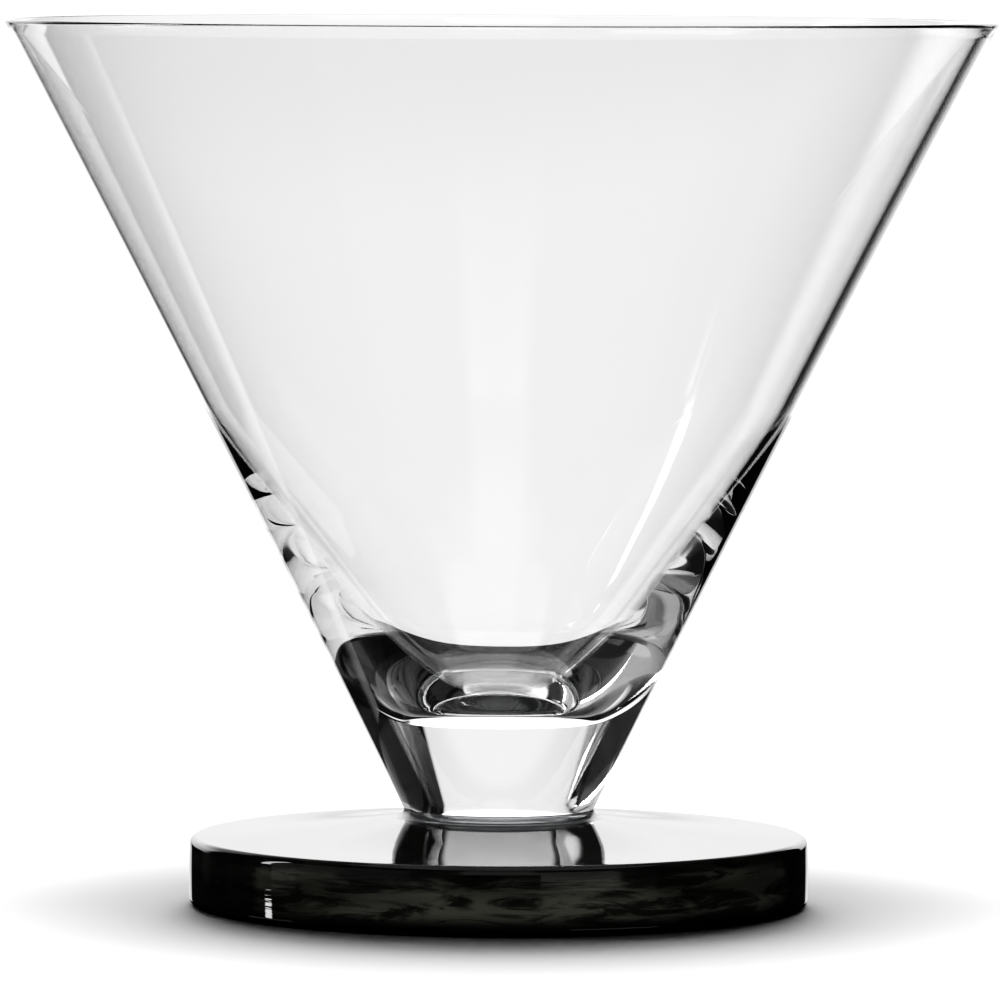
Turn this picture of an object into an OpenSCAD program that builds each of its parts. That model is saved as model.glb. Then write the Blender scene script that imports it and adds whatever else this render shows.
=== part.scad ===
// Martini glass: a thick conical bowl of clear glass that runs straight down into a solid neck,
// bonded to a low, slightly crowned foot of black glass.
// The axis is +Z and the origin is the centre of the flat underside.

/* [Overall] */
// Height from the table to the rim
height = 94; // [88:1:104]
// Outside diameter of the rim
rim_d = 105; // [96:1:114]

/* [Foot] */
// Diameter of the black glass foot
foot_d = 65.8; // [56:0.2:76]
// Thickness of the foot at its edge
foot_edge_h = 7.4; // [5:0.1:10]
// How far the crown of the foot rises above its edge
crown_h = 2; // [0.5:0.1:3]
// Radius that softens the upper and lower edge of the foot
foot_round = 0.9; // [0.4:0.1:1.5]

/* [Neck and bond] */
// Diameter of the solid neck where it stands on the foot
neck_d = 20.2; // [16:0.2:24]
// Height of the straight land ground at the very bottom of the neck
neck_land = 0.8; // [0.4:0.1:1.2]
// Thickness of the clear bond between neck and foot
bond_t = 0.15; // [0.05:0.05:0.3]
// How far the bond's fillet stands out from the neck
fillet_w = 0.8; // [0.3:0.1:1.2]

/* [Bowl] */
// How far the outer wall curves in from a straight cone at mid height
wall_bow = 0.4; // [0:0.1:1]
// Level width of the wall at the rim
rim_wall = 1.1; // [1.1:0.1:2.2]
// Radius that softens both edges of the rim
rim_round = 0.4; // [0.2:0.05:0.5]
// Height below which the wall grows thicker
thick_from_z = 53.3; // [50:0.1:72]
// How late the wall thickens: 1 is an even rate, and more keeps it thin for longer
thick_power = 1.76; // [1:0.02:3]
// Height of the shoulder, where the inner wall starts to turn into the floor
shoulder_z = 32.2; // [29:0.1:35]
// How much wider the wall is at the shoulder than at the rim
shoulder_gain = 2.9; // [2:0.1:6]

/* [Cavity floor] */
// Height of the cavity floor above the table
floor_z = 22.3; // [21:0.1:26]
// Diameter of the flat middle of the cavity floor
floor_d = 13; // [4:0.5:14]
// How far the wall keeps its direction below the shoulder before it turns
shoulder_pull = 1.2; // [0.6:0.1:4]
// How far the floor stays level before it turns up
floor_pull = 2.7; // [1:0.1:4]

/* [Hidden] */

$fn = 128;
// Steps along a gently curved wall, and along a tight bend
wall_steps = 14;
bend_steps = 12;
corner_steps = 5;

rim_r = rim_d / 2;
neck_r = neck_d / 2;
foot_r = foot_d / 2;
// Level of the flat land in the middle of the foot, and of the underside of the neck above it
land_z = foot_edge_h + crown_h;
neck_z = land_z + bond_t;
// Level where the conical wall starts, above the neck's straight land, and where the rim's rounds begin
cone_z = neck_z + neck_land;
rim_z = height - rim_round;
// Outer radius of the bond's fillet, which is also the flat land of the foot
bond_r = neck_r + fillet_w;

function mix(a, b, t) = a + (b - a) * t;

// Point at t, from 0 to 1, on the cubic curve with end points a and d and pull points b and c
function bend(a, b, c, d, t) =
    pow(1 - t, 3) * a + 3 * t * pow(1 - t, 2) * b + 3 * t * t * (1 - t) * c + pow(t, 3) * d;

// Quarter round of radius r about the centre c, from angle a to angle b
function quarter(c, r, a, b) =
    [for (i = [0 : corner_steps]) c + r * [cos(mix(a, b, i / corner_steps)), sin(mix(a, b, i / corner_steps))]];

// Outer radius of the bowl at height z: a cone that bows in by wall_bow at mid height
function outer_r(z) =
    let (t = (z - cone_z) / (rim_z - cone_z))
    mix(neck_r, rim_r, t) - 4 * wall_bow * t * (1 - t);

// Level width of the wall at height z: even near the rim, then growing towards the shoulder
function wall_w(z) =
    rim_wall + shoulder_gain * pow(max(0, thick_from_z - z) / (thick_from_z - shoulder_z), thick_power);

function inner_r(z) = outer_r(z) - wall_w(z);

// Slope of the inner wall, as radius gained per unit of height
function inner_slope(z) = (inner_r(z + 0.05) - inner_r(z - 0.05)) / 0.1;

// The cavity from its axis, over the floor and up the wall to just above the rim
function cavity_outline() =
    let (
        shoulder = [inner_r(shoulder_z), shoulder_z],
        steep = inner_slope(shoulder_z),
        down = -[steep, 1] / norm([steep, 1]),
        edge = [floor_d / 2, floor_z]
    )
    concat(
        [[0, floor_z]],
        [for (i = [0 : bend_steps])
            bend(edge, edge + [floor_pull, 0], shoulder + down * shoulder_pull, shoulder, i / bend_steps)],
        [for (i = [1 : wall_steps])
            let (z = mix(shoulder_z, thick_from_z, i / wall_steps))
            [inner_r(z), z]],
        [for (i = [1 : wall_steps / 2])
            let (z = mix(thick_from_z, rim_z, 2 * i / wall_steps))
            [inner_r(z), z]]
    );

// The clear body in section: neck, outer wall, softened rim, then back down the cavity
function bowl_outline() =
    let (cavity = cavity_outline())
    concat(
        [[0, neck_z], [neck_r, neck_z]],
        [for (i = [0 : 2 * wall_steps])
            let (z = mix(cone_z, rim_z, i / (2 * wall_steps)))
            [outer_r(z), z]],
        quarter([rim_r - rim_round, rim_z], rim_round, 0, 90),
        quarter([inner_r(rim_z) + rim_round, rim_z], rim_round, 90, 180),
        [for (i = [len(cavity) - 2 : -1 : 0]) cavity[i]]
    );

// The bond in section: a thin film under the neck, and a hollow fillet around its land
function bond_outline() =
    concat(
        [[0, land_z], [bond_r, land_z]],
        [for (i = [1 : corner_steps])
            [bond_r, cone_z] - [fillet_w * sin(90 * i / corner_steps),
                                (cone_z - land_z) * cos(90 * i / corner_steps)]],
        [[neck_r, neck_z], [0, neck_z]]
    );

// Height of the foot's crown at radius r: flat land in the middle, then falling away to the edge
function crown_z(r) =
    let (t = (r - bond_r) / (foot_r - foot_round - bond_r))
    foot_edge_h + crown_h * (0.45 * (1 - t) + 0.55 * pow(1 - t, 2));

// The foot in section: flat underside, softened edges and a crowned top
function foot_outline() =
    concat(
        [[0, 0]],
        quarter([foot_r - foot_round, foot_round], foot_round, -90, 0),
        quarter([foot_r - foot_round, foot_edge_h - foot_round], foot_round, 0, 90),
        [for (i = [1 : bend_steps])
            let (r = mix(foot_r - foot_round, bond_r, i / bend_steps))
            [r, crown_z(r)]],
        [[0, land_z]]
    );

// Clear glass bowl with its solid neck, blown in one piece
module bowl() {
    color("azure", 0.35)
        rotate_extrude()
            polygon(bowl_outline());
}

// Clear bond that joins the neck to the foot
module bond() {
    color("lightcyan", 0.5)
        rotate_extrude()
            polygon(bond_outline());
}

// Black glass foot
module foot() {
    color("black")
        rotate_extrude()
            polygon(foot_outline());
}

bowl();
bond();
foot();
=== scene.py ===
"""Martini glass: a thick clear cone of glass on a solid neck, bonded to a foot of black glass.

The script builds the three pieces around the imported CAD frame, dresses them, and sets up a plain
white studio. Every length is in metres and the origin is the centre of the foot's underside.
"""

import logging
import math
from dataclasses import dataclass, field
from typing import Any

import bpy
from mathutils import Matrix, Vector

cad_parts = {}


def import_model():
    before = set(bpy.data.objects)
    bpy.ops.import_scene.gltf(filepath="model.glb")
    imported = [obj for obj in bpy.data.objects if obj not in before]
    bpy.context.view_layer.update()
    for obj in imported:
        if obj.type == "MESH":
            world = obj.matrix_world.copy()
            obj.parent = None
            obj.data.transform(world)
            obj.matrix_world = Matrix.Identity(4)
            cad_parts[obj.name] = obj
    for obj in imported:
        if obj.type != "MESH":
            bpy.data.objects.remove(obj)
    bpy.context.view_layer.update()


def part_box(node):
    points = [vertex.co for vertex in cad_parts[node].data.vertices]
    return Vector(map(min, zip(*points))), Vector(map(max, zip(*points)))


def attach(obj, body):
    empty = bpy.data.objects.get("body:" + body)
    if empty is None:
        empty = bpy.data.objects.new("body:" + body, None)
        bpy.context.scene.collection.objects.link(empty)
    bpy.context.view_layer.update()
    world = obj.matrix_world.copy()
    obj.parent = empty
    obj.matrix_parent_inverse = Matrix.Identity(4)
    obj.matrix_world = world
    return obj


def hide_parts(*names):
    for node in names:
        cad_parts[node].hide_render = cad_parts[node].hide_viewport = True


LOG = logging.getLogger("martini_glass")
MM = 0.001
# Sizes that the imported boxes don't give: the neck's radius and the rise of the foot's crown
NECK_R = 10.1 * MM
CROWN_H = 2.0 * MM

Point = tuple[float, float]
Points = tuple[Point, ...]
Triple = tuple[float, float, float]


def grey(level: float) -> tuple[float, float, float, float]:
    """Gives an opaque grey of a linear level."""
    return (level, level, level, 1.0)


# --------------------------------------------------------------------------------------------
# Small helpers for node trees
# --------------------------------------------------------------------------------------------
class NodeKit:
    """Adds and joins nodes in one node tree."""

    def __init__(self, tree: bpy.types.NodeTree) -> None:
        """Starts on a tree.

        Args:
            tree: The node tree to build in.
        """
        self.tree = tree

    def add(self, kind: str, **settings: Any) -> bpy.types.Node:
        """Adds a node and sets its properties.

        Args:
            kind: Blender's identifier of the node type.
            **settings: Properties of the node, by name.

        Returns:
            The new node.
        """
        node = self.tree.nodes.new(kind)
        for name, value in settings.items():
            setattr(node, name, value)
        return node

    def feed(self, socket: bpy.types.NodeSocket, value: Any) -> None:
        """Links a socket to an output, or sets its value.

        Args:
            socket: The input socket.
            value: An output socket, or a plain value.
        """
        if isinstance(value, bpy.types.NodeSocket):
            self.tree.links.new(value, socket)
        else:
            socket.default_value = value

    def math(self, operation: str, *values: Any) -> bpy.types.NodeSocket:
        """Adds a Math node.

        Args:
            operation: The Math node's operation.
            *values: Its inputs, each a socket or a number.

        Returns:
            The node's output.
        """
        node = self.add("ShaderNodeMath", operation=operation)
        for socket, value in zip(node.inputs, values):
            self.feed(socket, value)
        return node.outputs[0]

    def ramp(
        self, value: Any, low: float, high: float, to_low: float = 0.0, to_high: float = 1.0
    ) -> bpy.types.NodeSocket:
        """Maps a value smoothly from one range to another.

        Args:
            value: The value to map.
            low: Where the ramp starts.
            high: Where the ramp ends.
            to_low: Result at and below the start.
            to_high: Result at and above the end.

        Returns:
            The mapped value.
        """
        node = self.add("ShaderNodeMapRange", interpolation_type="SMOOTHSTEP")
        for name, number in zip(
            ("Value", "From Min", "From Max", "To Min", "To Max"),
            (value, low, high, to_low, to_high),
        ):
            self.feed(node.inputs[name], number)
        return node.outputs["Result"]

    def place(self, scale: Triple = (1.0, 1.0, 1.0)) -> bpy.types.NodeSocket:
        """Gives the piece's own coordinates.

        Args:
            scale: What each of them is multiplied by.

        Returns:
            The vector output.
        """
        mapping = self.add("ShaderNodeMapping", vector_type="POINT")
        self.feed(mapping.inputs["Vector"], self.add("ShaderNodeTexCoord").outputs["Object"])
        mapping.inputs["Scale"].default_value = scale
        return mapping.outputs[0]

    def noise(self, vector: bpy.types.NodeSocket, **sizes: float) -> bpy.types.NodeSocket:
        """Adds a noise texture.

        Args:
            vector: Where it is read.
            **sizes: The texture's inputs by name in lower case, such as scale and detail.

        Returns:
            The noise, from 0 to 1.
        """
        node = self.add("ShaderNodeTexNoise")
        self.feed(node.inputs["Vector"], vector)
        for name, value in sizes.items():
            node.inputs[name.title()].default_value = value
        return node.outputs["Fac"]

    def bump(
        self, height: bpy.types.NodeSocket, depth: float, strength: Any
    ) -> bpy.types.NodeSocket:
        """Adds a bump.

        Args:
            height: The height map.
            depth: Height of its full range, in metres.
            strength: Its strength, from 0 to 1.

        Returns:
            The bent normal.
        """
        node = self.add("ShaderNodeBump")
        node.inputs["Distance"].default_value = depth
        self.feed(node.inputs["Strength"], strength)
        self.feed(node.inputs["Height"], height)
        return node.outputs[0]


# --------------------------------------------------------------------------------------------
# Finishes
# --------------------------------------------------------------------------------------------
class Finish:
    """A material built from nodes around one Principled shader."""

    name: str = "finish"

    def build(self) -> bpy.types.Material:
        """Makes the material.

        Returns:
            The new material.
        """
        material = bpy.data.materials.new(self.name)
        material.use_nodes = True
        tree = material.node_tree
        tree.nodes.clear()
        kit = NodeKit(tree)
        output = kit.add("ShaderNodeOutputMaterial")
        shader = kit.add("ShaderNodeBsdfPrincipled")
        tree.links.new(shader.outputs[0], output.inputs["Surface"])
        self.dress(kit, shader)
        return material

    def dress(self, kit: NodeKit, shader: bpy.types.Node) -> None:
        """Sets the shader's sockets and adds the surface detail.

        Args:
            kit: The helper on the material's tree.
            shader: The Principled shader.
        """
        raise NotImplementedError


@dataclass(frozen=True)
class ClearGlass(Finish):
    """Clear lead-free glass with faint tool marks round the neck.

    Args:
        name: The material's name.
        ior: Index of refraction.
        mark_scale: Fineness of the tool marks along each axis.
        mark_depth: Depth of the tool marks, in metres.
        marks_top: Height above which the tool marks are gone.
    """

    name: str = "clear_glass"
    ior: float = 1.5
    mark_scale: Triple = (60.0, 60.0, 2200.0)
    mark_depth: float = 0.004 * MM
    marks_top: float = 22.0 * MM

    def dress(self, kit: NodeKit, shader: bpy.types.Node) -> None:
        """Sets the shader's sockets and adds the surface detail.

        Args:
            kit: The helper on the material's tree.
            shader: The Principled shader.
        """
        shader.inputs["Base Color"].default_value = grey(1.0)
        shader.inputs["Roughness"].default_value = 0.0
        shader.inputs["IOR"].default_value = self.ior
        shader.inputs["Transmission Weight"].default_value = 1.0
        split = kit.add("ShaderNodeSeparateXYZ")
        kit.feed(split.inputs[0], kit.place())
        low = kit.ramp(split.outputs["Z"], self.marks_top * 0.5, self.marks_top, 1.0, 0.0)
        marks = kit.noise(kit.place(self.mark_scale), scale=1.0, detail=3.0)
        kit.feed(shader.inputs["Normal"], kit.bump(marks, self.mark_depth, low))


@dataclass(frozen=True)
class BondResin(Finish):
    """Cured clear bond, as seen in its fillet round the neck.

    Args:
        name: The material's name.
        ior: Index of refraction.
        painted_shade_tint: Linear grey painted into the clear bond as painted shade of the black
            foot below.
        uneven_scale: Fineness of its uneven surface.
        uneven_depth: Depth of its uneven surface, in metres.
    """

    name: str = "clear_bond"
    ior: float = 1.49
    # Painted shade: grey in place of the black foot seen through the clear bond
    painted_shade_tint: Triple = (0.55, 0.56, 0.57)
    uneven_scale: float = 900.0
    uneven_depth: float = 0.03 * MM

    def dress(self, kit: NodeKit, shader: bpy.types.Node) -> None:
        """Sets the shader's sockets and adds the surface detail.

        Args:
            kit: The helper on the material's tree.
            shader: The Principled shader.
        """
        # Painted shade of the black foot below, laid into the clear bond's colour
        shader.inputs["Base Color"].default_value = (*self.painted_shade_tint, 1.0)
        shader.inputs["Roughness"].default_value = 0.2
        shader.inputs["IOR"].default_value = self.ior
        shader.inputs["Transmission Weight"].default_value = 0.85
        uneven = kit.noise(kit.place(), scale=self.uneven_scale, detail=2.0)
        kit.feed(shader.inputs["Normal"], kit.bump(uneven, self.uneven_depth, 0.5))


@dataclass(frozen=True)
class GroundAndShadedFace(Finish):
    """Black glass ground matt where the foot rests on the table, and painted shade on the lower
    rounding.

    Args:
        name: The material's name.
        shade: Linear grey of the ground glass.
    """

    # Painted shade: the lower rounding is matt black with no reflection, in place of the shaded
    # floor it would mirror
    name: str = "ground_and_shaded_face"
    shade: float = 0.0008

    def dress(self, kit: NodeKit, shader: bpy.types.Node) -> None:
        """Sets the shader's sockets.

        Args:
            kit: The helper on the material's tree.
            shader: The Principled shader.
        """
        shader.inputs["Base Color"].default_value = grey(self.shade)
        shader.inputs["Roughness"].default_value = 0.9
        # No sheen: light that skims the ground edge isn't mirrored
        shader.inputs["IOR"].default_value = 1.0


@dataclass(frozen=True)
class BlackGlass(Finish):
    """Black glass with grey streaks drawn out sideways in the body, partly painted reflection of
    the floor.

    Args:
        name: The material's name.
        ior: Index of refraction.
        body_shade: Linear grey between the streaks.
        streak_and_reflection_shade: Linear grey of the brightest streak, partly painted
            reflection.
        streak_warmth: Blue of a streak as a share of its red.
        streak_scale: Fineness of the streaks per radian round the axis, and outward and up.
        dark_reflection_sectors: Middle and half width of the sectors painted darker as a
        painted dark reflection, in degrees from the front.
        block_fade: Softness of a sector's edge, in radians.
        block_ragged: How far the streaks shift a sector's edge, in radians.
        fade_in: Heights between which the streaks set in above the table.
        fade_out: Heights between which they fade below the upper edge.
        groove_scale: Fineness of the grooves along each axis.
        groove_depth: Depth of the fine grooves round the side, in metres.
        grooves_end: Heights between which the grooves fade out.
    """

    name: str = "black_glass"
    ior: float = 1.5
    body_shade: float = 0.0004
    # Painted reflection of the floor, laid into the base colour with the paler streaks
    streak_and_reflection_shade: float = 0.085
    streak_warmth: float = 0.85
    streak_scale: Triple = (3.6, 60.0, 620.0)
    # Sectors painted darker, as a painted dark reflection
    dark_reflection_sectors: Points = ((-68.0, 20.0), (78.0, 13.0))
    block_fade: float = 0.06
    block_ragged: float = 0.12
    fade_in: Point = (0.8 * MM, 2.6 * MM)
    fade_out: Point = (5.6 * MM, 6.6 * MM)
    groove_scale: Triple = (120.0, 120.0, 1900.0)
    groove_depth: float = 0.01 * MM
    grooves_end: Point = (6.0 * MM, 6.6 * MM)

    def dress(self, kit: NodeKit, shader: bpy.types.Node) -> None:
        """Sets the shader's sockets and adds the surface detail.

        Args:
            kit: The helper on the material's tree.
            shader: The Principled shader.
        """
        shader.inputs["Roughness"].default_value = 0.0
        shader.inputs["IOR"].default_value = self.ior
        split = kit.add("ShaderNodeSeparateXYZ")
        kit.feed(split.inputs[0], kit.place())
        across, deep, rise = (split.outputs[axis] for axis in "XYZ")
        around = kit.math("ARCTAN2", across, kit.math("MULTIPLY", deep, -1.0))
        squares = kit.math("ADD", kit.math("POWER", across, 2.0), kit.math("POWER", deep, 2.0))
        wrapped = kit.add("ShaderNodeCombineXYZ")
        for socket, value, scale in zip(
            wrapped.inputs, (around, kit.math("SQRT", squares), rise), self.streak_scale
        ):
            kit.feed(socket, kit.math("MULTIPLY", value, scale))
        drawn = wrapped.outputs[0]
        streaks = kit.noise(drawn, scale=1.0, detail=7.0, roughness=0.62, distortion=0.9)
        cloud = kit.noise(drawn, scale=0.35, detail=2.0)
        # Painted reflection: the streak pattern also paints the floor's reflection into the colour
        shade = kit.ramp(streaks, 0.40, 0.56, 0.15, 1.0)
        shade = kit.math("MULTIPLY", shade, kit.ramp(cloud, 0.3, 0.62, 0.35, 1.0))
        # Painted dark reflection: fixed sectors round the side are painted darker
        for middle, half in self.dark_reflection_sectors:
            off = kit.math("ABSOLUTE", kit.math("SUBTRACT", around, math.radians(middle)))
            off = kit.math("ADD", off, kit.math("MULTIPLY", streaks, self.block_ragged))
            edge = math.radians(half)
            outside = kit.ramp(off, edge, edge + self.block_fade, 0.12, 1.0)
            shade = kit.math("MULTIPLY", shade, outside)
        # The streaks and painted reflection fade out near the table and below the upper edge
        shade = kit.math("MULTIPLY", shade, kit.ramp(rise, *self.fade_in))
        shade = kit.math("MULTIPLY", shade, kit.ramp(rise, *self.fade_out, 1.0, 0.2))
        tone = kit.add("ShaderNodeMix", data_type="RGBA")
        kit.feed(tone.inputs["Factor"], shade)
        tone.inputs["A"].default_value = grey(self.body_shade)
        streak = self.streak_and_reflection_shade
        tone.inputs["B"].default_value = (streak, streak, streak * self.streak_warmth, 1.0)
        kit.feed(shader.inputs["Base Color"], tone.outputs["Result"])
        grooves = kit.noise(kit.place(self.groove_scale), scale=1.0, detail=2.0)
        side = kit.ramp(rise, *self.grooves_end, 1.0, 0.0)
        kit.feed(shader.inputs["Normal"], kit.bump(grooves, self.groove_depth, side))


# --------------------------------------------------------------------------------------------
# Lathe: turns a section about the axis with Geometry Nodes
# --------------------------------------------------------------------------------------------
@dataclass
class Section:
    """A section to be turned about the axis, listed so that the glass lies on its left.

    Args:
        points: (radius, height) pairs.
        lean: For each point, how far it leans off the axis, from 0 to 1.
        ripple: For each point, how strongly the surface ripples, from 0 to 1.
    """

    points: list[Point] = field(default_factory=list)
    lean: list[float] = field(default_factory=list)
    ripple: list[float] = field(default_factory=list)

    def add(self, radius: float, height: float, lean: float = 0.0, ripple: float = 0.0) -> None:
        """Adds one point.

        Args:
            radius: Distance from the axis.
            height: Height above the table.
            lean: Share of the lathe's lean.
            ripple: Share of the lathe's ripple.
        """
        self.points.append((radius, height))
        self.lean.append(lean)
        self.ripple.append(ripple)


@dataclass
class Lathe:
    """Turns a section into a closed mesh with a Geometry Nodes tree.

    Args:
        segments: Steps round the axis.
        lean: Sideways offset of the points that lean, in metres.
        ripple_height: Height of the surface ripple, in metres.
        ripple_scale: Fineness of the ripple across and along the axis.
        seed: Seed of the ripple.
        sharp_angle: Edges bent more than this stay sharp, in degrees.
        merge: Points closer than this become one, in metres.
    """

    segments: int = 288
    lean: float = 0.0
    ripple_height: float = 0.0
    ripple_scale: Triple = (60.0, 60.0, 60.0)
    seed: int = 7
    sharp_angle: float = 38.0
    merge: float = 0.0005 * MM

    def tree(self) -> bpy.types.NodeTree:
        """Builds the node tree.

        Returns:
            The geometry node tree.
        """
        tree = bpy.data.node_groups.new("lathe", "GeometryNodeTree")
        face = tree.interface
        face.new_socket("Geometry", in_out="OUTPUT", socket_type="NodeSocketGeometry")
        face.new_socket("Geometry", in_out="INPUT", socket_type="NodeSocketGeometry")
        for name, kind in (
            ("Segments", "NodeSocketInt"),
            ("Lean", "NodeSocketFloat"),
            ("Ripple Height", "NodeSocketFloat"),
            ("Ripple Scale", "NodeSocketVector"),
            ("Seed", "NodeSocketInt"),
            ("Sharp Angle", "NodeSocketFloat"),
            ("Material", "NodeSocketMaterial"),
        ):
            face.new_socket(name, in_out="INPUT", socket_type=kind)
        kit = NodeKit(tree)
        given = kit.add("NodeGroupInput").outputs

        size = kit.add("GeometryNodeAttributeDomainSize", component="MESH")
        kit.feed(size.inputs["Geometry"], given["Geometry"])
        count = size.outputs["Point Count"]
        grid = kit.add("GeometryNodeMeshGrid")
        kit.feed(grid.inputs["Vertices X"], kit.math("ADD", given["Segments"], 1.0))
        kit.feed(grid.inputs["Vertices Y"], count)

        index = kit.add("GeometryNodeInputIndex").outputs[0]
        along = kit.math("MODULO", index, count)
        around = kit.math("FLOOR", kit.math("DIVIDE", kit.math("ADD", index, 0.25), count))
        angle = kit.math("DIVIDE", kit.math("MULTIPLY", around, math.tau), given["Segments"])

        def pick(source: bpy.types.NodeSocket, kind: str) -> bpy.types.NodeSocket:
            """Reads the section's own value for a point of the grid."""
            node = kit.add("GeometryNodeSampleIndex", data_type=kind, domain="POINT")
            kit.feed(node.inputs["Geometry"], given["Geometry"])
            kit.feed(node.inputs["Value"], source)
            kit.feed(node.inputs["Index"], along)
            return node.outputs[0]

        def named(name: str) -> bpy.types.NodeSocket:
            """Reads an attribute of the section by name."""
            node = kit.add("GeometryNodeInputNamedAttribute", data_type="FLOAT")
            node.inputs["Name"].default_value = name
            return node.outputs["Attribute"]

        flat = kit.add("ShaderNodeSeparateXYZ")
        spot = kit.add("GeometryNodeInputPosition").outputs[0]
        kit.feed(flat.inputs[0], pick(spot, "FLOAT_VECTOR"))
        reach = flat.outputs["X"]
        lean = kit.math("MULTIPLY", pick(named("lean"), "FLOAT"), given["Lean"])
        across = kit.math("MULTIPLY", reach, kit.math("COSINE", angle))
        place = kit.add("ShaderNodeCombineXYZ")
        kit.feed(place.inputs["X"], kit.math("ADD", across, lean))
        kit.feed(place.inputs["Y"], kit.math("MULTIPLY", reach, kit.math("SINE", angle)))
        kit.feed(place.inputs["Z"], flat.outputs["Z"])

        turned = kit.add("GeometryNodeSetPosition")
        kit.feed(turned.inputs["Geometry"], grid.outputs["Mesh"])
        kit.feed(turned.inputs["Position"], place.outputs[0])
        kept = kit.add("GeometryNodeStoreNamedAttribute", data_type="FLOAT", domain="POINT")
        kit.feed(kept.inputs["Geometry"], turned.outputs[0])
        kept.inputs["Name"].default_value = "ripple"
        kit.feed(kept.inputs["Value"], pick(named("ripple"), "FLOAT"))
        closed = kit.add("GeometryNodeMergeByDistance")
        kit.feed(closed.inputs["Geometry"], kept.outputs[0])
        closed.inputs["Distance"].default_value = self.merge

        wave = kit.add("ShaderNodeTexNoise", noise_dimensions="4D")
        spread = kit.add("ShaderNodeVectorMath", operation="MULTIPLY")
        kit.feed(spread.inputs[0], kit.add("GeometryNodeInputPosition").outputs[0])
        kit.feed(spread.inputs[1], given["Ripple Scale"])
        kit.feed(wave.inputs["Vector"], spread.outputs[0])
        kit.feed(wave.inputs["W"], given["Seed"])
        wave.inputs["Scale"].default_value = 1.0
        wave.inputs["Detail"].default_value = 1.5
        level = kit.math("SUBTRACT", wave.outputs["Fac"], 0.5)
        height = kit.math("MULTIPLY", level, given["Ripple Height"])
        push = kit.add("ShaderNodeVectorMath", operation="SCALE")
        kit.feed(push.inputs[0], kit.add("GeometryNodeInputNormal").outputs[0])
        kit.feed(push.inputs["Scale"], kit.math("MULTIPLY", height, named("ripple")))
        rippled = kit.add("GeometryNodeSetPosition")
        kit.feed(rippled.inputs["Geometry"], closed.outputs[0])
        kit.feed(rippled.inputs["Offset"], push.outputs[0])

        smooth = kit.add("GeometryNodeSetShadeSmooth", domain="FACE")
        kit.feed(smooth.inputs["Geometry"], rippled.outputs[0])
        bend = kit.add("GeometryNodeInputMeshEdgeAngle").outputs[0]
        bent = kit.math("GREATER_THAN", bend, given["Sharp Angle"])
        crisp = kit.add("GeometryNodeSetShadeSmooth", domain="EDGE")
        kit.feed(crisp.inputs["Geometry"], smooth.outputs[0])
        kit.feed(crisp.inputs["Selection"], bent)
        crisp.inputs["Shade Smooth"].default_value = False
        whole = kit.add("GeometryNodeRealizeInstances")
        kit.feed(whole.inputs[0], crisp.outputs[0])
        dressed = kit.add("GeometryNodeSetMaterial")
        kit.feed(dressed.inputs["Geometry"], whole.outputs[0])
        kit.feed(dressed.inputs["Material"], given["Material"])
        output = kit.add("NodeGroupOutput")
        kit.feed(output.inputs[0], dressed.outputs[0])
        return tree

    def turn(self, name: str, section: Section, material: bpy.types.Material) -> bpy.types.Object:
        """Turns the section and returns the finished piece as a plain mesh.

        Args:
            name: Name of the piece.
            section: The section to turn.
            material: Its finish.

        Returns:
            The piece, at the origin and without modifiers.
        """
        mesh = bpy.data.meshes.new(name + "_section")
        mesh.from_pydata([(r, 0.0, z) for r, z in section.points], [], [])
        for label, values in (("lean", section.lean), ("ripple", section.ripple)):
            mesh.attributes.new(label, "FLOAT", "POINT").data.foreach_set("value", values)
        maker = bpy.data.objects.new(name + "_maker", mesh)
        bpy.context.scene.collection.objects.link(maker)
        modifier = maker.modifiers.new("lathe", "NODES")
        modifier.node_group = self.tree()
        sizes = {
            "Segments": self.segments,
            "Lean": self.lean,
            "Ripple Height": self.ripple_height,
            "Ripple Scale": self.ripple_scale,
            "Seed": self.seed,
            "Sharp Angle": math.radians(self.sharp_angle),
            "Material": material,
        }
        for item in modifier.node_group.interface.items_tree:
            if item.in_out == "INPUT" and item.name in sizes:
                modifier[item.identifier] = sizes[item.name]
        graph = bpy.context.evaluated_depsgraph_get()
        made = bpy.data.meshes.new_from_object(maker.evaluated_get(graph))
        made.name = name
        # The turned mesh has an empty slot first, which would shift a second finish by one
        made.materials.clear()
        made.materials.append(material)
        for label in ("lean", "ripple"):
            if label in made.attributes:
                made.attributes.remove(made.attributes[label])
        piece = bpy.data.objects.new(name, made)
        bpy.context.scene.collection.objects.link(piece)
        bpy.data.objects.remove(maker)
        bpy.data.meshes.remove(mesh)
        LOG.info("%s: %d faces", name, len(made.polygons))
        return piece


def curve_through(a: Point, b: Point, c: Point, d: Point, t: float) -> Point:
    """Gives a point on a cubic curve.

    Args:
        a: Start.
        b: Pull of the start.
        c: Pull of the end.
        d: End.
        t: From 0 to 1.

    Returns:
        The point.
    """
    s = 1.0 - t
    weights = (s**3, 3.0 * t * s * s, 3.0 * t * t * s, t**3)
    return (
        sum(w * p[0] for w, p in zip(weights, (a, b, c, d))),
        sum(w * p[1] for w, p in zip(weights, (a, b, c, d))),
    )


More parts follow.
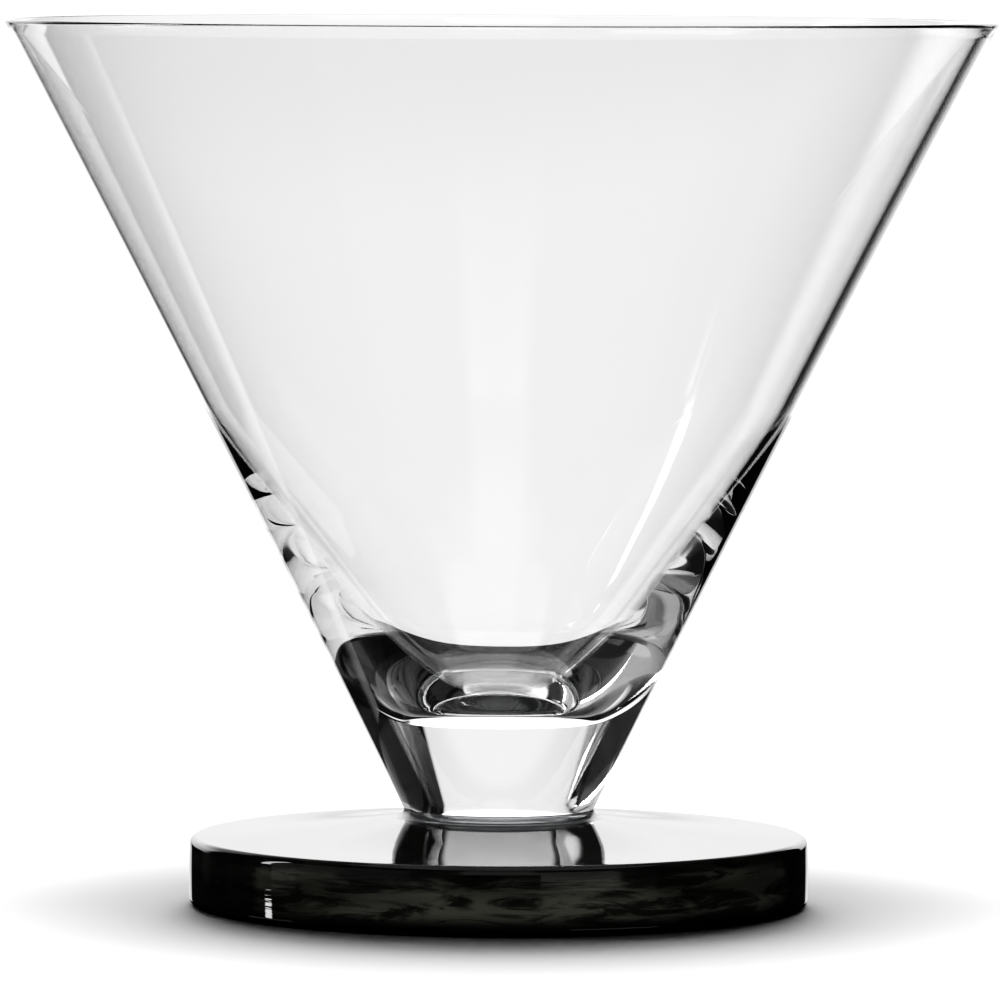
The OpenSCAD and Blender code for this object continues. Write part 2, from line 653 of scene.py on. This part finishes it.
# --------------------------------------------------------------------------------------------
# The three sub-assemblies
# --------------------------------------------------------------------------------------------
@dataclass
class Bowl:
    """Clear body: solid neck, conical wall, rounded rim and a cavity that leans a little.

    Args:
        height: Height of the rim above the table.
        rim_r: Outer radius of the rim.
        base_z: Height of the neck's underside.
        neck_r: Radius of the neck's underside.
        land: Height of the straight land at the neck's foot.
        bow: How far the outer wall bows in at mid height.
        rim_wall: Level width of the wall at the rim.
        rim_round: Radius on both edges of the rim.
        thick_from: Height below which the wall thickens.
        thick_power: How late the wall thickens.
        shoulder_z: Height of the cavity's shoulder.
        shoulder_gain: Extra wall at the shoulder.
        floor_z: Height of the cavity's floor.
        floor_r: Radius of the flat middle of the floor.
        shoulder_pull: Pull of the curve below the shoulder.
        floor_pull: Pull of the curve at the floor.
        lean: Sideways offset of the cavity at its widest.
        lean_low: Share of that offset at the cavity's floor.
        lean_from: Height at which the whole offset is reached.
        lean_rim: Share of the offset that is lost again up to the rim.
    """

    height: float
    rim_r: float
    base_z: float
    neck_r: float
    land: float = 0.8 * MM
    bow: float = 0.4 * MM
    rim_wall: float = 1.1 * MM
    rim_round: float = 0.4 * MM
    thick_from: float = 53.3 * MM
    thick_power: float = 1.76
    shoulder_z: float = 32.2 * MM
    shoulder_gain: float = 2.9 * MM
    floor_z: float = 22.3 * MM
    floor_r: float = 6.5 * MM
    shoulder_pull: float = 1.2 * MM
    floor_pull: float = 2.7 * MM
    lean: float = -0.37 * MM
    lean_low: float = 0.02
    lean_from: float = 75.0 * MM
    lean_rim: float = 0.02

    def outer(self, z: float) -> float:
        """Gives the outer radius at height z."""
        cone_z = self.base_z + self.land
        t = (z - cone_z) / (self.height - self.rim_round - cone_z)
        return self.neck_r + (self.rim_r - self.neck_r) * t - 4.0 * self.bow * t * (1.0 - t)

    def wall(self, z: float) -> float:
        """Gives the level width of the wall at height z."""
        t = max(0.0, self.thick_from - z) / (self.thick_from - self.shoulder_z)
        return self.rim_wall + self.shoulder_gain * t**self.thick_power

    def inner(self, z: float) -> float:
        """Gives the inner radius at height z."""
        return self.outer(z) - self.wall(z)

    def leaning(self, z: float) -> float:
        """Gives the share of the lean at height z."""
        t = min(1.0, max(0.0, (z - self.floor_z) / (self.lean_from - self.floor_z)))
        top = min(1.0, max(0.0, (z - self.lean_from) / (self.height - self.lean_from)))
        return self.lean_low + (1.0 - self.lean_low) * t * (2.0 - t) - self.lean_rim * top

    def section(self) -> Section:
        """Draws the body's section.

        Returns:
            The section, from the axis at the underside round to the axis at the cavity's floor.
        """
        made = Section()
        cone_z = self.base_z + self.land
        rim_z = self.height - self.rim_round
        for i in range(5):
            made.add(self.neck_r * i / 4, self.base_z)
        for i in range(1, 4):
            made.add(self.neck_r, self.base_z + self.land * i / 4)
        steps = 84
        for i in range(steps + 1):
            z = cone_z + (rim_z - cone_z) * i / steps
            made.add(self.outer(z), z)
        turn = 8
        r = self.rim_round
        for i in range(1, turn + 1):
            a = math.pi / 2 * i / turn
            made.add(self.rim_r - r + r * math.cos(a), rim_z + r * math.sin(a))
        inner_top = self.inner(rim_z)
        lean = self.leaning(self.height)
        for i in range(turn):
            a = math.pi / 2 * (1 + i / turn)
            made.add(inner_top + r + r * math.cos(a), rim_z + r * math.sin(a), lean)
        for i in range(steps + 1):
            z = rim_z + (self.shoulder_z - rim_z) * i / steps
            made.add(self.inner(z), z, self.leaning(z))
        shoulder = (self.inner(self.shoulder_z), self.shoulder_z)
        slope = (self.inner(self.shoulder_z + MM) - self.inner(self.shoulder_z)) / MM
        length = math.hypot(slope, 1.0)
        down = (
            shoulder[0] - self.shoulder_pull * slope / length,
            shoulder[1] - self.shoulder_pull / length,
        )
        edge = (self.floor_r, self.floor_z)
        level = (self.floor_r + self.floor_pull, self.floor_z)
        bend = 40
        for i in range(1, bend + 1):
            radius, z = curve_through(shoulder, down, level, edge, i / bend)
            made.add(radius, z, self.leaning(z))
        for i in range(1, 7):
            made.add(self.floor_r * (1 - i / 6), self.floor_z, self.leaning(self.floor_z))
        return made

    def build(self, glass: bpy.types.Material) -> bpy.types.Object:
        """Makes the piece.

        Args:
            glass: The clear glass.

        Returns:
            The finished piece.
        """
        piece = Lathe(lean=self.lean).turn("glass_bowl", self.section(), glass)
        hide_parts("bowl")
        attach(piece, "root")
        return piece


@dataclass
class Bond:
    """Clear bond: the fillet that shows round the neck and the film under it.

    Args:
        low: Height of the foot's land.
        high: Height of the fillet's top.
        neck_r: Radius of the neck.
        outer_r: Outer radius of the fillet.
        film: Thickness of the film under the neck.
        gap: Air left to the neighbours, so that no two faces lie in one place.
    """

    low: float
    high: float
    neck_r: float
    outer_r: float
    film: float = 0.15 * MM
    gap: float = 0.01 * MM

    def section(self) -> Section:
        """Draws the bond's section.

        Returns:
            The section of a ring with a hollow fillet over a thin film.
        """
        made = Section()
        base = self.low + self.gap
        top = self.low + self.film - self.gap
        inside = self.neck_r + self.gap
        made.add(0.0, base)
        for i in range(1, 5):
            made.add(self.outer_r * i / 4, base)
        steps = 10
        for i in range(1, steps + 1):
            a = math.pi / 2 * i / steps
            made.add(
                self.outer_r - (self.outer_r - inside) * math.sin(a),
                self.high - (self.high - base) * math.cos(a),
            )
        made.add(inside, top)
        made.add(inside * 0.5, top)
        made.add(0.0, top)
        return made

    def build(self, resin: bpy.types.Material) -> bpy.types.Object:
        """Makes the piece.

        Args:
            resin: The bond's finish.

        Returns:
            The finished piece.
        """
        piece = Lathe(segments=192).turn("bond_fillet", self.section(), resin)
        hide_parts("bond")
        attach(piece, "root")
        return piece


@dataclass
class Foot:
    """Black glass foot: flat underside, straight side, slightly crowned and rippled top.

    Args:
        radius: Outer radius.
        edge_h: Thickness at the edge.
        land_r: Radius of the flat land under the neck.
        land_z: Height of that land.
        rounding: Radius on the upper and lower edge.
        barrel: How far the side bulges at half height.
        crown_even: Share of the crown that rises evenly. The rest rises towards the neck.
        ground_share: Share of the lower rounding's height that is ground matt, painted black as
            painted shade.
        side_ripple: Ripple on the side, as a share of the ripple on the top.
        ripple_height: Height of the ripple on the top.
        ripple_scale: Fineness of that ripple along each axis.
    """

    radius: float
    edge_h: float
    land_r: float
    land_z: float
    rounding: float = 0.9 * MM
    barrel: float = 0.04 * MM
    crown_even: float = 0.45
    ground_share: float = 0.8
    side_ripple: float = 0.15
    ripple_height: float = 0.03 * MM
    ripple_scale: Triple = (90.0, 90.0, 90.0)

    def crown(self, r: float) -> float:
        """Gives the height of the top at radius r."""
        t = (r - self.land_r) / (self.radius - self.rounding - self.land_r)
        even, late = self.crown_even, 1 - self.crown_even
        rise = self.land_z - self.edge_h
        return self.edge_h + rise * (even * (1 - t) + late * (1 - t) ** 2)

    def section(self) -> Section:
        """Draws the foot's section.

        Returns:
            The section from the axis at the underside to the axis at the land.
        """
        made = Section()
        r = self.rounding
        for i in range(13):
            made.add((self.radius - r) * i / 12, 0.0)
        turn = 10
        for i in range(1, turn + 1):
            a = math.pi / 2 * (i / turn - 1)
            made.add(
                self.radius - self.barrel - r + r * math.cos(a),
                r + r * math.sin(a),
                ripple=self.side_ripple * i / turn,
            )
        for i in range(1, 24):
            t = i / 24
            inset = self.barrel * (1.0 - 4.0 * t * (1.0 - t))
            height = r + (self.edge_h - 2 * r) * t
            made.add(self.radius - inset, height, ripple=self.side_ripple)
        for i in range(turn + 1):
            a = math.pi / 2 * i / turn
            made.add(
                self.radius - self.barrel - r + r * math.cos(a),
                self.edge_h - r + r * math.sin(a),
                ripple=self.side_ripple + (1.0 - self.side_ripple) * i / turn,
            )
        steps = 60
        for i in range(1, steps + 1):
            radius = self.radius - r + (self.land_r - self.radius + r) * i / steps
            made.add(radius, self.crown(radius), ripple=min(1.0, (steps - i) / 8))
        made.add(self.land_r * 0.5, self.land_z)
        made.add(0.0, self.land_z)
        return made

    def build(self, glass: bpy.types.Material, ground: bpy.types.Material) -> bpy.types.Object:
        """Makes the piece.

        Args:
            glass: The black glass.
            ground: The matt finish of the underside, and the painted shade of the lower rounding.

        Returns:
            The finished piece.
        """
        lathe = Lathe(
            segments=320, ripple_height=self.ripple_height, ripple_scale=self.ripple_scale
        )
        piece = lathe.turn("foot_disc", self.section(), glass)
        piece.data.materials.append(ground)
        # The underside is ground glass; on the lower rounding the same black matt finish is
        # painted shade
        for face in piece.data.polygons:
            if face.center.z < self.rounding * self.ground_share:
                face.material_index = 1
        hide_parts("foot")
        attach(piece, "root")
        return piece


# --------------------------------------------------------------------------------------------
# Studio
# --------------------------------------------------------------------------------------------
@dataclass(frozen=True)
class Card:
    """A card, panel or flag of the studio, as a soft-edged patch of sky.

    Args:
        name: What it is.
        turn: Azimuth of its middle from +Y towards +X, in degrees.
        half: Half of its width, in degrees.
        low: Elevation of its lower edge, in degrees.
        high: Elevation of its upper edge, in degrees.
        shade: Its radiance.
        soft: Softness of its sides, in degrees.
        soft_low: Softness of its lower edge, in degrees.
        soft_high: Softness of its upper edge, in degrees.
    """

    name: str
    turn: float
    half: float
    low: float
    high: float
    shade: float
    soft: float = 1.0
    soft_low: float = 0.6
    soft_high: float = 2.0


@dataclass(frozen=True)
class Lamp:
    """A large soft lamp above the table, anywhere from the back over the top to the front.

    Args:
        name: What it is.
        rise: Elevation above the back of the table, in degrees.
        width: Angle that it spans, in degrees.
        energy: Its irradiance.
        blockers: The pieces that throw a shadow.
        receivers: The pieces that it lights. None listed means that it lights everything.
    """

    name: str
    rise: float
    width: float
    energy: float
    blockers: tuple[str, ...]
    receivers: tuple[str, ...] = ()


@dataclass(frozen=True)
class Viewpoint:
    """The camera: a long lens, looking slightly down.

    Args:
        place: Where it stands.
        lens: Focal length, in millimetres.
        sensor: Width of the sensor, in millimetres.
        down: How far it looks down, in radians.
        roll: How far it is turned about the lens, in degrees.
        nearest: Nearest distance that it shows.
        farthest: Farthest distance that it shows.
    """

    place: Triple = (0.0, -0.9813, 0.10561)
    lens: float = 333.6
    sensor: float = 36.0
    down: float = 0.0636
    roll: float = 0.22
    nearest: float = 0.05
    farthest: float = 50.0

    def build(self) -> None:
        """Places the camera."""
        data = bpy.data.cameras.new("camera")
        data.lens, data.sensor_width = self.lens, self.sensor
        data.clip_start, data.clip_end = self.nearest, self.farthest
        camera = bpy.data.objects.new("camera", data)
        level = Matrix.Rotation(math.pi / 2 - self.down, 4, "X")
        turn = level @ Matrix.Rotation(math.radians(self.roll), 4, "Z")
        camera.matrix_world = Matrix.Translation(self.place) @ turn
        bpy.context.scene.collection.objects.link(camera)
        bpy.context.scene.camera = camera


@dataclass
class Studio:
    """White studio: a bright wall, dark cards that draw the glass's edges, a narrow strip lamp.

    Args:
        around: Radiance of the pale surroundings.
        backdrop: Radiance of the plain white that the camera sees.
        dome: Radiance of the sky that lights the floor.
        wall: Where the back wall is. Its radiance comes from wall_glow.
        wall_glow: Radiance of the back wall by elevation in degrees, from low to high.
        cards: The cards, each laid over the ones before it.
        floor_shade: Linear grey of the floor.
        floor_reach: Half of the floor's width.
        tone: The film's tone curve, as radiance and the level that it is shown at.
        lamps: The lamps that light the floor and the foot.
        bounces: Most bounces of light in all and through glass.
        mirror_bounces: Most bounces of mirrored light.
    """

    around: float = 0.12
    backdrop: float = 1.2
    dome: float = 0.02
    wall: Card = Card("wall", -5.0, 37.0, -1.0, 38.0, 1.0, soft=6.0, soft_low=1.5)
    wall_glow: Points = (
        (-10.0, 1.0),
        (-1.0, 1.02),
        (3.0, 1.35),
        (8.0, 1.65),
        (12.0, 2.0),
        (16.0, 2.2),
        (20.0, 1.7),
        (25.0, 0.92),
        (36.0, 0.88),
    )
    cards: tuple[Card, ...] = (
        Card("overhead", 0.0, 181.0, 60.0, 95.0, 1.2, soft_low=3.0),
        Card("above_wall", -17.0, 47.0, 36.5, 60.0, 0.33, soft=3.0, soft_low=1.0),
        Card("table", 0.0, 181.0, -95.0, -8.0, 0.015),
        Card("left_room", -120.0, 28.0, -4.0, 32.0, 0.45, soft=4.0),
        Card("front", 180.0, 15.0, 2.5, 52.0, 0.92, soft=2.0, soft_low=1.0),
        Card("front_left", -157.0, 9.0, -6.0, 30.0, 0.2, soft=2.0),
        Card("front_right", 150.0, 16.0, -4.0, 32.0, 0.88, soft=2.0),
        Card("sweep_left_back", -45.0, 10.0, -50.0, -27.0, 1.0),
        Card("sweep_left", -84.0, 12.0, -24.0, -10.0, 0.8),
        Card("sweep_right_front", 135.0, 18.0, -36.0, -14.0, 1.0),
        Card("left_flag", -57.5, 14.0, -14.0, 60.0, 0.05, soft=3.0),
        Card("edge_left", -75.0, 45.0, -10.0, -5.1, 0.02, soft=5.0),
        Card("gap_left", -25.0, 10.0, -24.0, 0.0, 0.02, soft=2.5),
        Card("gap_right", 25.0, 10.0, -24.0, 0.0, 0.02, soft=2.5),
        Card("strip", -84.0, 2.6, 0.0, 34.0, 9.0, soft=0.8),
        Card("strip_foot", -85.0, 1.7, -9.6, -6.9, 12.0, soft=0.6, soft_low=0.3, soft_high=0.3),
        Card("beyond_strip", -93.0, 6.0, -5.0, 30.0, 0.6, soft=0.8),
        Card("left_back_flag", -95.0, 9.0, 32.0, 60.0, 0.03),
        Card("camera_side", 182.6, 18.0, -12.0, 1.0, 0.03, soft=0.4),
        Card("right_flag", 73.0, 46.0, -14.0, 50.0, 0.012, soft=1.2),
        Card("sweep", 0.0, 16.0, -43.0, 0.0, 1.02, soft=2.0),
    )
    floor_shade: float = 0.82
    floor_reach: float = 6.0
    tone: Points = ((0.035, 0.009), (0.1, 0.045), (0.22, 0.18), (0.42, 0.42))
    lamps: tuple[Lamp, ...] = (
        Lamp("top_lamp", 90.0, 25.0, 2.98, ("foot_disc", "glass_bowl")),
        Lamp("rear_lamp", 30.0, 60.0, 2.46, ("foot_disc", "glass_bowl")),
        Lamp("low_lamp", 19.0, 25.0, 2.27, ("foot_disc",)),
        Lamp("front_fill", 165.0, 25.0, 2.4, ("foot_disc",), ("foot_disc",)),
    )
    bounces: int = 32
    mirror_bounces: int = 24

    def wall_shade(self, kit: NodeKit, rise: bpy.types.NodeSocket) -> bpy.types.NodeSocket:
        """Maps elevation to the radiance of the back wall.

        Args:
            kit: The helper on the world's tree.
            rise: Elevation in degrees.

        Returns:
            The radiance.
        """
        first, last = self.wall_glow[0][0], self.wall_glow[-1][0]
        peak = max(shade for _, shade in self.wall_glow)
        ramp = kit.add("ShaderNodeValToRGB")
        stops = ramp.color_ramp.elements
        while len(stops) < len(self.wall_glow):
            stops.new(0.5)
        for stop, (level, shade) in zip(stops, self.wall_glow):
            stop.position = (level - first) / (last - first)
            stop.color = grey(shade / peak)
        above = kit.math("SUBTRACT", rise, first)
        kit.feed(ramp.inputs[0], kit.math("DIVIDE", above, last - first))
        return kit.math("MULTIPLY", ramp.outputs["Color"], peak)

    def world(self) -> None:
        """Paints the surroundings that the glass bends and mirrors."""
        world = bpy.data.worlds.new("studio")
        bpy.context.scene.world = world
        world.use_nodes = True
        tree = world.node_tree
        tree.nodes.clear()
        kit = NodeKit(tree)
        way = kit.add("ShaderNodeSeparateXYZ")
        kit.feed(way.inputs[0], kit.add("ShaderNodeTexCoord").outputs["Generated"])
        degrees = math.degrees(1.0)
        turn = kit.math("ARCTAN2", way.outputs["X"], way.outputs["Y"])
        turn = kit.math("MULTIPLY", turn, degrees)
        rise = kit.math("MULTIPLY", kit.math("ARCSINE", way.outputs["Z"]), degrees)

        def cover(card: Card) -> bpy.types.NodeSocket:
            """Gives how much a card covers a direction, from 0 to 1."""
            off = kit.math("ADD", kit.math("SUBTRACT", turn, card.turn), 540.0)
            off = kit.math("SUBTRACT", kit.math("FLOORED_MODULO", off, 360.0), 180.0)
            off = kit.math("ABSOLUTE", off)
            side = kit.ramp(off, card.half - card.soft, card.half + card.soft, 1.0, 0.0)
            above = kit.ramp(rise, card.low - card.soft_low, card.low + card.soft_low)
            top, soft = card.high, card.soft_high
            below = kit.ramp(rise, top - soft, top + soft, 1.0, 0.0)
            return kit.math("MULTIPLY", side, kit.math("MULTIPLY", above, below))

        def blend(under: Any, over: Any, share: bpy.types.NodeSocket) -> bpy.types.NodeSocket:
            """Lays one radiance over another."""
            node = kit.add("ShaderNodeMix", data_type="FLOAT")
            kit.feed(node.inputs["Factor"], share)
            kit.feed(node.inputs["A"], under)
            kit.feed(node.inputs["B"], over)
            return node.outputs["Result"]

        shade = blend(self.around, self.wall_shade(kit, rise), cover(self.wall))
        for card in self.cards:
            shade = blend(shade, card.shade, cover(card))
        ray = kit.add("ShaderNodeLightPath").outputs
        plain_shade = blend(self.dome, self.backdrop, ray["Is Camera Ray"])
        scattered = kit.math("GREATER_THAN", ray["Diffuse Depth"], 0.5)
        choice = kit.add("ShaderNodeMixShader")
        kit.feed(choice.inputs["Fac"], kit.math("MAXIMUM", ray["Is Camera Ray"], scattered))
        for socket, strength in zip(choice.inputs[1:], (shade, plain_shade)):
            background = kit.add("ShaderNodeBackground")
            background.inputs["Color"].default_value = grey(1.0)
            kit.feed(background.inputs["Strength"], strength)
            kit.feed(socket, background.outputs[0])
        kit.feed(kit.add("ShaderNodeOutputWorld").inputs["Surface"], choice.outputs[0])

    def floor(self) -> None:
        """Lays the pale floor. Light that the glass bends or mirrors doesn't meet it."""
        mesh = bpy.data.meshes.new("floor")
        reach = self.floor_reach
        corners = [(-reach, -reach), (reach, -reach), (reach, reach), (-reach, reach)]
        mesh.from_pydata([(x, y, 0.0) for x, y in corners], [], [(0, 1, 2, 3)])
        floor = bpy.data.objects.new("floor", mesh)
        bpy.context.scene.collection.objects.link(floor)
        material = bpy.data.materials.new("floor_paint")
        material.use_nodes = True
        paint = material.node_tree.nodes["Principled BSDF"]
        paint.inputs["Base Color"].default_value = grey(self.floor_shade)
        paint.inputs["Roughness"].default_value = 1.0
        paint.inputs["Specular IOR Level"].default_value = 0.0
        mesh.materials.append(material)
        floor.visible_glossy = False
        floor.visible_transmission = False

    def hang(self, lamp: Lamp) -> None:
        """Hangs one lamp.

        Args:
            lamp: The lamp.
        """
        data = bpy.data.lights.new(lamp.name, "SUN")
        data.energy = lamp.energy
        data.angle = math.radians(lamp.width)
        hung = bpy.data.objects.new(lamp.name, data)
        rise = math.radians(lamp.rise)
        shines = Vector((0.0, -math.cos(rise), -math.sin(rise)))
        hung.rotation_mode = "QUATERNION"
        hung.rotation_quaternion = shines.to_track_quat("-Z", "Y")
        bpy.context.scene.collection.objects.link(hung)
        hung.visible_glossy = False
        hung.visible_transmission = False
        for role, pieces in (("blocker", lamp.blockers), ("receiver", lamp.receivers)):
            if pieces:
                linked = bpy.data.collections.new(f"{lamp.name}_{role}s")
                for piece in pieces:
                    linked.objects.link(bpy.data.objects[piece])
                setattr(hung.light_linking, role + "_collection", linked)

    def build(self) -> None:
        """Sets up the whole studio."""
        scene = bpy.context.scene
        view = scene.view_settings
        view.view_transform = "Standard"
        view.use_curve_mapping = True
        tone = view.curve_mapping.curves[3]
        for level, shown in self.tone:
            tone.points.new(level, shown)
        view.curve_mapping.update()
        scene.cycles.max_bounces = self.bounces
        scene.cycles.transmission_bounces = self.bounces
        scene.cycles.glossy_bounces = self.mirror_bounces
        self.world()
        self.floor()
        for lamp in self.lamps:
            self.hang(lamp)
        Viewpoint().build()


def main() -> None:
    """Builds the glass and the studio."""
    logging.basicConfig(level=logging.INFO, format="%(name)s: %(message)s")
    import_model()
    bowl_low, bowl_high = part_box("bowl")
    bond_low, bond_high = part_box("bond")
    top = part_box("foot")[1]
    bowl = Bowl(height=bowl_high.z, rim_r=bowl_high.x, base_z=bowl_low.z, neck_r=NECK_R)
    bowl.build(ClearGlass().build())
    bond = Bond(low=bond_low.z, high=bond_high.z, neck_r=NECK_R, outer_r=bond_high.x)
    bond.build(BondResin().build())
    foot = Foot(radius=top.x, edge_h=top.z - CROWN_H, land_r=bond_high.x, land_z=top.z)
    foot.build(BlackGlass().build(), GroundAndShadedFace().build())
    Studio().build()


if __name__ == "__main__":
    main()
